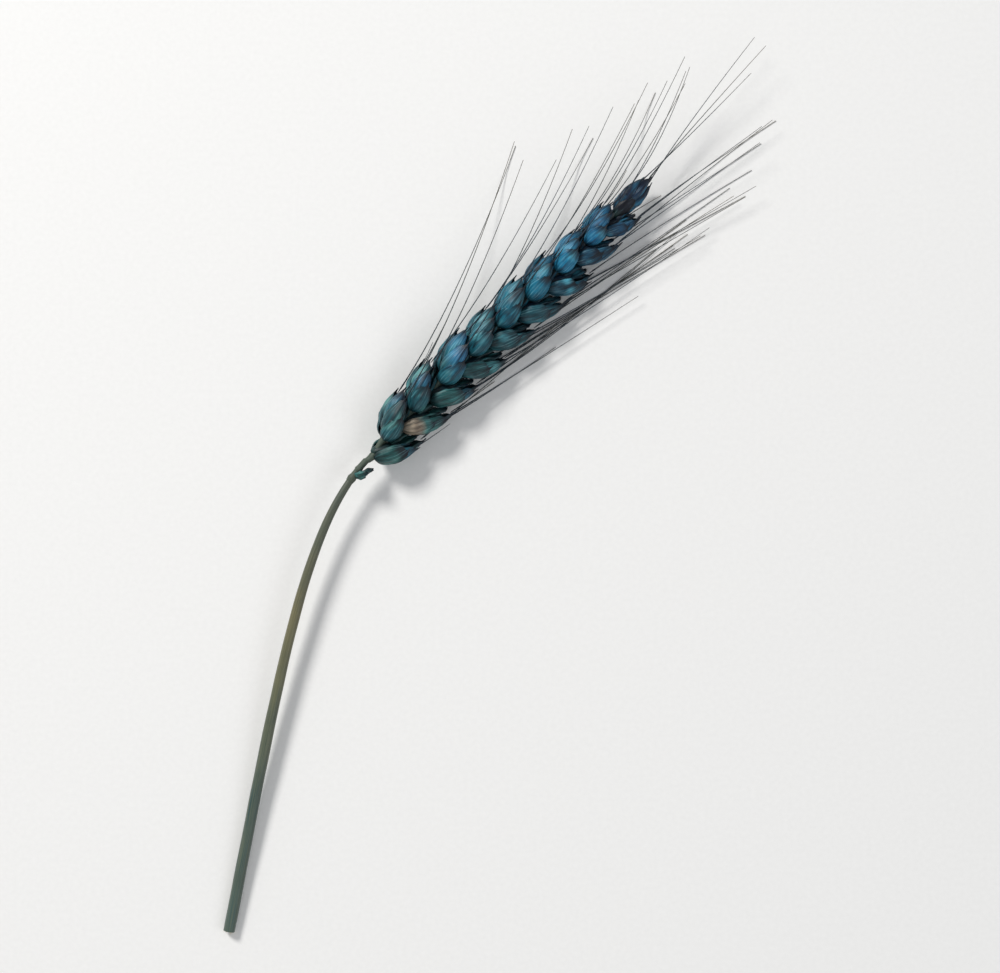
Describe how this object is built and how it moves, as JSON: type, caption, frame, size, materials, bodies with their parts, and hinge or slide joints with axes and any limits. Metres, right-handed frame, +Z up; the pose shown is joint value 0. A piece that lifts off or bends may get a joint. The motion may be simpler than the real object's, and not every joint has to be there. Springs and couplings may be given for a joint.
{
  "type": "dried bearded wheat ear on a cut straw",
  "caption": "Dried, dyed wheat ear lying on its side: two rows of husked spikelets with long awns on a zigzag rachis, on a curved hollow straw cut at its lower end.",
  "frame": {"origin": "centre of the bounding box in plan, on the surface that the ear lies on", "axes": "+Z up from the surface; +Y roughly from the cut end of the straw to the tips of the awns; the ear itself points 45 degrees from +X towards +Y"},
  "size_m": [0.1321, 0.2129, 0.0196],
  "materials": {
    "dyed_husk": "dry, papery husk dyed teal blue, with darker navy tips and awns",
    "dyed_straw": "smooth dry straw, olive tan under a thin uneven teal dye"
  },
  "bodies": {
    "root": {"ear": "dyed_husk", "straw": "dyed_straw"}
  },
  "joints": []
}
